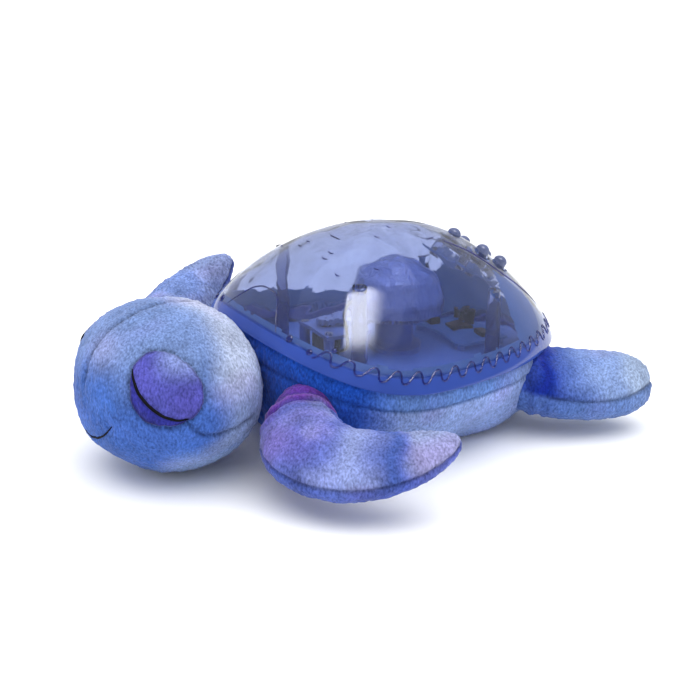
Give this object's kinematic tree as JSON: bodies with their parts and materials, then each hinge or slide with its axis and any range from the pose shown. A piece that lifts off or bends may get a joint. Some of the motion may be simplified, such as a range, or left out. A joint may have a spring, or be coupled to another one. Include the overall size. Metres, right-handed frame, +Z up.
{
  "type": "night light projector",
  "caption": "Stuffed turtle night light with a clear blue domed shell, a lamp under a turning ripple lens, push buttons on the shell and flippers that lift.",
  "frame": {"origin": "on the base pan's flat underside, between the battery door and the speaker grille, at floor level", "axes": "+Z up from the floor, -Y towards the head, +X towards the turtle's left"},
  "size_m": [0.2738, 0.3278, 0.1228],
  "materials": {
    "plush_blue": "short-pile plush, mottled mid blue",
    "plush_head": "short-pile plush, blue cheeks and a paler crown",
    "plush_flipper": "short-pile plush, lilac and blue mottle",
    "plush_foot": "short-pile plush, deep blue root and paler end",
    "plush_eyelid": "short-pile plush, violet",
    "shell_plastic": "clear deep blue, glossy",
    "frame_plastic": "dark blue, moulded",
    "button_plastic": "grey violet, moulded",
    "pale_plastic": "pale blue grey, moulded",
    "gear_plastic": "off-white acetal",
    "ripple_plastic": "clear pale blue with rings",
    "lamp_plastic": "clear, glossy",
    "lamp_phosphor": "yellow diode caps",
    "lamp_white": "white metal-backed board",
    "steel": "plated",
    "cell_jacket": "gold and black jacket",
    "speaker_black": "black cone and frame",
    "board_brown": "brown laminate",
    "part_black": "black moulded parts",
    "motor_can": "dark can",
    "wire_jacket": "black jacket"
  },
  "bodies": {
    "body": {"plush_body": "plush_blue", "head": "plush_head", "eyelid_left": "plush_eyelid", "eyelid_right": "plush_eyelid", "shell_dome": "shell_plastic", "rim_hoop": "frame_plastic", "base_pan": "frame_plastic", "chassis_plate": "frame_plastic", "shell_screws": "steel", "battery_cells": "cell_jacket", "battery_contacts": "steel", "speaker": "speaker_black", "main_board": "board_brown", "board_components": "part_black", "lamp_tower": "pale_plastic", "rotor_washer": "gear_plastic", "lamp_board": "lamp_white", "lamp_emitters": "lamp_phosphor", "lamp_lens": "lamp_plastic", "idler_axle": "steel", "gear_plate": "pale_plastic", "gear_plate_screws": "steel", "motor": "motor_can", "motor_wire": "wire_jacket", "button_board": "board_brown", "button_board_screws": "steel", "tact_switches": "part_black"},
    "front_left": {"front_flipper_left": "plush_flipper"},
    "front_right": {"front_flipper_right": "plush_flipper"},
    "rear_left": {"rear_flipper_left": "plush_foot"},
    "rear_right": {"rear_flipper_right": "plush_foot"},
    "rotor": {"rotor_gear": "gear_plastic", "ripple_lens": "ripple_plastic"},
    "idler": {"idler_gear": "gear_plastic"},
    "pinion": {"motor_shaft": "steel", "motor_pinion": "gear_plastic"},
    "door": {"battery_door": "frame_plastic", "door_screw": "steel"},
    "key_power": {"button_power": "button_plastic"},
    "key_light": {"button_light": "button_plastic"},
    "key_motion": {"button_motion": "button_plastic"},
    "key_sound": {"button_sound": "button_plastic"},
    "key_timer": {"button_timer": "button_plastic"}
  },
  "joints": [
    {"name": "front_left_swing", "type": "hinge", "parent": "body", "child": "front_left", "pos_m": [0.05573, -0.10231, 0.04], "axis": [0.6, -0.8, 0], "range_deg": [-8, 26]},
    {"name": "front_right_swing", "type": "hinge", "parent": "body", "child": "front_right", "pos_m": [-0.05573, -0.10231, 0.04], "axis": [0.6, 0.8, 0], "range_deg": [-30, 4]},
    {"name": "rear_left_lift", "type": "hinge", "parent": "body", "child": "rear_left", "pos_m": [0.04992, 0.05394, 0.046], "axis": [0.6, -0.8, 0], "range_deg": [0, 15]},
    {"name": "rear_right_lift", "type": "hinge", "parent": "body", "child": "rear_right", "pos_m": [-0.04992, 0.05394, 0.046], "axis": [0.6, 0.8, 0], "range_deg": [0, 15]},
    {"name": "rotor_spin", "type": "hinge", "parent": "body", "child": "rotor", "pos_m": [0, -0.012, 0.066], "axis": [0, 0, 1], "continuous": true},
    {"name": "idler_spin", "type": "hinge", "parent": "body", "child": "idler", "pos_m": [0, -0.042, 0.066], "axis": [0, 0, 1], "continuous": true},
    {"name": "pinion_spin", "type": "hinge", "parent": "body", "child": "pinion", "pos_m": [0, -0.057, 0.066], "axis": [0, 0, 1], "continuous": true},
    {"name": "door_lift", "type": "slide", "parent": "body", "child": "door", "axis": [0, 0, -1], "range_m": [0, 0.02]},
    {"name": "power_press", "type": "slide", "parent": "body", "child": "key_power", "axis": [0, -0.5446, -0.8387], "range_m": [0, 0.001], "stiffness_N_per_m": 200, "springref_m": -0.001},
    {"name": "light_press", "type": "slide", "parent": "body", "child": "key_light", "axis": [0, -0.5446, -0.8387], "range_m": [0, 0.001], "stiffness_N_per_m": 200, "springref_m": -0.001},
    {"name": "motion_press", "type": "slide", "parent": "body", "child": "key_motion", "axis": [0, -0.5446, -0.8387], "range_m": [0, 0.001], "stiffness_N_per_m": 200, "springref_m": -0.001},
    {"name": "sound_press", "type": "slide", "parent": "body", "child": "key_sound", "axis": [0, -0.5446, -0.8387], "range_m": [0, 0.001], "stiffness_N_per_m": 200, "springref_m": -0.001},
    {"name": "timer_press", "type": "slide", "parent": "body", "child": "key_timer", "axis": [0, -0.5446, -0.8387], "range_m": [0, 0.001], "stiffness_N_per_m": 200, "springref_m": -0.001}
  ],
  "couplings": [
    {"joint": "idler_spin", "follows": "rotor_spin", "ratio": -2},
    {"joint": "pinion_spin", "follows": "rotor_spin", "ratio": 4}
  ]
}
